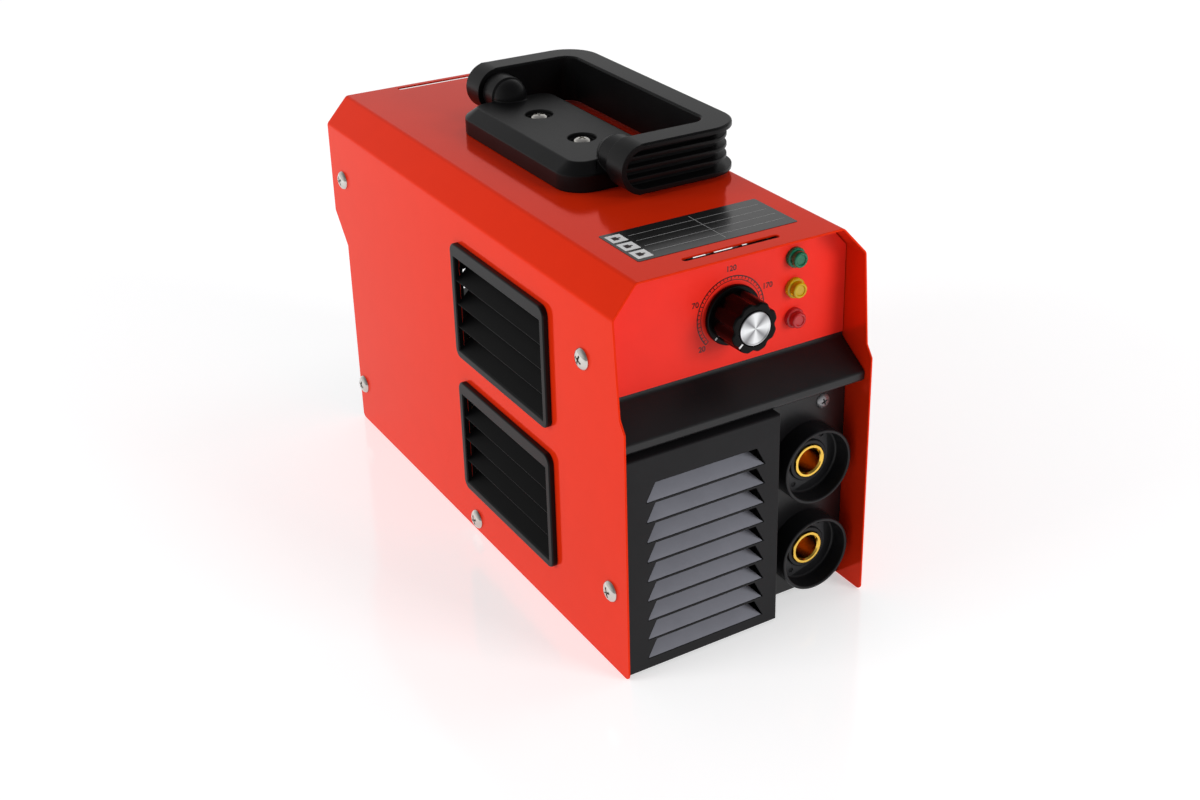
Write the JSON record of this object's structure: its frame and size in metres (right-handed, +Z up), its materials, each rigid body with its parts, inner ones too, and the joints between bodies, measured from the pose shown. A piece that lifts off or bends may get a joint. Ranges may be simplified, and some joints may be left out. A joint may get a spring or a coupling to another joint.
{
  "type": "stick welding inverter",
  "caption": "Portable inverter power source for stick welding, in a sheet-steel case with a fold-down handle, current knob, lamps, output sockets, louvred vents and a rear fan.",
  "frame": {"origin": "on the floor under the middle of the casing, at the centre of the part's box", "axes": "+Z up, the front panel faces -Y, +X to the right as seen from the front"},
  "size_m": [0.146, 0.331, 0.228],
  "materials": {
    "cover_red": "gloss",
    "panel_red": "satin printed film",
    "black_steel": "satin",
    "black_plastic": "fine grain",
    "knob_black": "gloss",
    "cap_silver": "turned",
    "screw_nickel": "polished",
    "steel": "zinc plated",
    "brass": "machined",
    "lens_green": "clear tinted",
    "lens_yellow": "clear tinted",
    "lens_red": "clear tinted",
    "label_grey": "satin printed film",
    "fan_black": "matt",
    "rocker_red": "gloss",
    "board_green": "solder mask",
    "sink_aluminium": "extruded",
    "ferrite": "matt",
    "copper": "enamelled copper",
    "winding_tape": "taped winding",
    "capacitor_blue": "sleeve",
    "package_black": "moulded",
    "relay_blue": "moulded"
  },
  "bodies": {
    "casing": {"cover": "cover_red", "base_tray": "black_steel", "front_plate": "black_steel", "panel_overlay": "panel_red", "louvre_grille": "black_steel", "rear_panel": "black_steel", "vent_left_upper": "black_plastic", "vent_left_lower": "black_plastic", "vent_right_upper": "black_plastic", "vent_right_lower": "black_plastic", "rating_label": "label_grey", "side_screws": "screw_nickel", "front_plate_screw": "steel", "rear_panel_screws": "screw_nickel", "handle_base": "black_plastic", "handle_base_screws": "screw_nickel", "handle_nuts": "steel", "handle_pivot_pins": "steel", "potentiometer": "steel", "potentiometer_nut": "steel", "lamp_green": "lens_green", "lamp_yellow": "lens_yellow", "lamp_red": "lens_red", "lamp_board": "board_green", "socket_shroud_upper": "black_plastic", "socket_shroud_lower": "black_plastic", "socket_insert_upper": "brass", "socket_insert_lower": "brass", "socket_nuts": "brass", "busbar_positive": "copper", "busbar_negative": "copper", "fan_frame": "fan_black", "fan_guard": "steel", "fan_screws": "screw_nickel", "power_switch_body": "black_plastic", "cable_gland": "black_plastic", "gland_nut": "black_plastic", "earth_stud": "brass", "main_board": "board_green", "board_standoffs": "steel", "heatsink_left": "sink_aluminium", "heatsink_right": "sink_aluminium", "power_transistors": "package_black", "output_diodes": "package_black", "transformer_core": "ferrite", "transformer_winding": "winding_tape", "choke_core": "ferrite", "choke_winding": "copper", "bulk_capacitors": "capacitor_blue", "bridge_rectifier": "package_black", "control_board": "board_green", "soft_start_relay": "relay_blue"},
    "handle": {"handle_grip": "black_plastic"},
    "knob": {"knob": "knob_black", "knob_cap": "cap_silver", "knob_shaft": "steel"},
    "fan": {"fan_rotor": "fan_black"},
    "rocker": {"power_switch_rocker": "rocker_red"}
  },
  "joints": [
    {"name": "handle_fold", "type": "hinge", "parent": "casing", "child": "handle", "pos_m": [0, 0.012, 0.215], "axis": [0, -1, 0], "range_deg": [0, 90]},
    {"name": "knob_turn", "type": "hinge", "parent": "casing", "child": "knob", "pos_m": [0.002, -0.143, 0.1655], "axis": [0, 1, 0], "range_deg": [0, 264]},
    {"name": "fan_spin", "type": "hinge", "parent": "casing", "child": "fan", "pos_m": [0, 0.133, 0.053], "axis": [0, 1, 0], "continuous": true},
    {"name": "rocker_tilt", "type": "hinge", "parent": "casing", "child": "rocker", "pos_m": [0.032, 0.1436, 0.163], "axis": [-1, 0, 0], "range_deg": [0, 20]}
  ]
}
